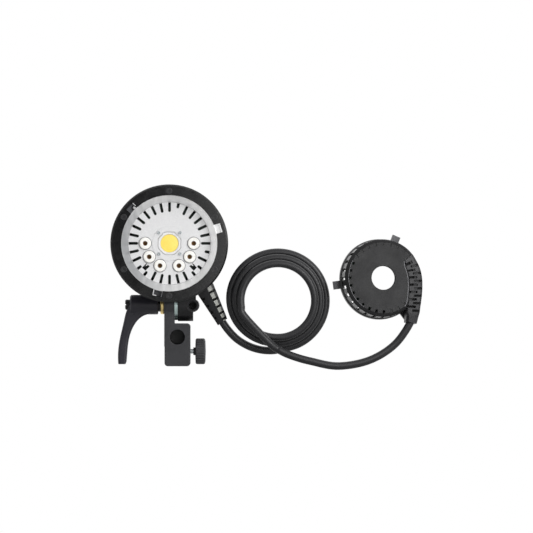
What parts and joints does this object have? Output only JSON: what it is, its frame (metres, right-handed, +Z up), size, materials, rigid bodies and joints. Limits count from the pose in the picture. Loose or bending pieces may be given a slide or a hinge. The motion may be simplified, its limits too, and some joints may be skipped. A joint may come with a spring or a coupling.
{
  "type": "remote flash head",
  "caption": "Round flash head with lug mount, lamp base, modelling lamp and tilt bracket, joined by a coiled cable to a vented bayonet plug.",
  "frame": {"origin": "centre of the mount ring's bore in its front face; the lamp axis is Y", "axes": "lamp faces -Y, +Z up, +X towards the cable and plug"},
  "size_m": [0.3308, 0.1452, 0.1967],
  "materials": {
    "black_metal": "fine satin black paint",
    "grey_casting": "satin charcoal powder coat",
    "black_plastic": "fine moulded grain",
    "cover_plastic": "fine moulded grain",
    "rubber": "matt rubber",
    "cable_jacket": "smooth semi-matt jacket",
    "satin_aluminium": "brushed satin",
    "white_enamel": "matt light grey enamel",
    "ceramic": "white glazed ceramic",
    "brass": "turned, lightly polished",
    "steel": "bright zinc plate",
    "dark_steel": "black oxide",
    "led_phosphor": "yellow phosphor under silicone",
    "circuit_board": "green solder mask",
    "copper": "enamelled copper winding"
  },
  "bodies": {
    "head": {"mount_ring": "black_metal", "ring_screws": "dark_steel", "slot_guide": "satin_aluminium", "lock_plate": "steel", "slot_leaf": "steel", "slot_pad": "dark_steel", "reflector_cup": "satin_aluminium", "lamp_base_plate": "white_enamel", "plate_clips": "dark_steel", "tube_sockets": "ceramic", "socket_contacts": "brass", "wiring_board": "circuit_board", "trigger_coil": "copper", "led_board": "white_enamel", "led_emitter": "led_phosphor", "led_screws": "steel", "led_heat_sink": "satin_aluminium", "head_barrel": "black_plastic", "rear_cover": "black_plastic", "cover_screws": "dark_steel", "fan_frame": "black_plastic", "fan_screws": "steel", "tilt_lug": "black_metal", "clamp_nut": "steel", "umbrella_bush": "dark_steel", "lug_screws": "dark_steel", "head_boot": "rubber", "cable_coil": "cable_jacket", "lock_spring": "steel"},
    "fan": {"fan_rotor": "black_plastic"},
    "lock": {"lock_slider": "steel"},
    "bracket": {"bracket_block": "grey_casting", "friction_disc": "steel"},
    "clamp": {"clamp_stud": "dark_steel", "brass_collar": "brass", "lever_button": "dark_steel", "lever_spring": "steel"},
    "lever": {"clamp_lever": "black_plastic"},
    "pad": {"pressure_pad": "brass"},
    "thumb": {"thumb_knob": "black_plastic", "thumb_screw": "steel"},
    "plug": {"cable_tail": "cable_jacket", "plug_shell": "cover_plastic", "plug_cover": "cover_plastic", "plug_lugs": "dark_steel", "plug_pins": "brass", "plug_terminal_board": "circuit_board", "plug_boot": "rubber"}
  },
  "joints": [
    {"name": "bracket_tilt", "type": "hinge", "parent": "head", "child": "bracket", "pos_m": [0, 0.05, -0.0654], "axis": [1, 0, 0], "range_deg": [-70, 80]},
    {"name": "clamp_turn", "type": "hinge", "parent": "bracket", "child": "clamp", "pos_m": [0, 0.05, -0.0654], "axis": [1, 0, 0], "range_deg": [-30, 30]},
    {"name": "lever_pull", "type": "slide", "parent": "clamp", "child": "lever", "axis": [-1, 0, 0], "range_m": [0, 0.004], "stiffness_N_per_m": 400, "springref_m": -0.002, "deforming": ["lever_spring"]},
    {"name": "thumb_feed", "type": "slide", "parent": "bracket", "child": "pad", "axis": [-1, 0, 0], "range_m": [-0.0016, 0.002]},
    {"name": "thumb_turn", "type": "hinge", "parent": "pad", "child": "thumb", "pos_m": [0.03, 0.05, -0.1152], "axis": [-1, 0, 0], "range_deg": [-720, 900]},
    {"name": "lock_slide", "type": "slide", "parent": "head", "child": "lock", "axis": [0, 1, 0], "range_m": [0, 0.007], "stiffness_N_per_m": 300, "springref_m": -0.003, "deforming": ["lock_spring"]},
    {"name": "fan_spin", "type": "hinge", "parent": "head", "child": "fan", "pos_m": [0, 0.095, 0], "axis": [0, -1, 0], "continuous": true},
    {"name": "cable_flex", "type": "hinge", "parent": "head", "child": "plug", "pos_m": [0.15, -0.001, -0.125], "axis": [0, 1, 0], "range_deg": [-12, 12]}
  ],
  "couplings": [
    {"joint": "thumb_turn", "follows": "thumb_feed", "rad_per_m": 7853.9}
  ]
}
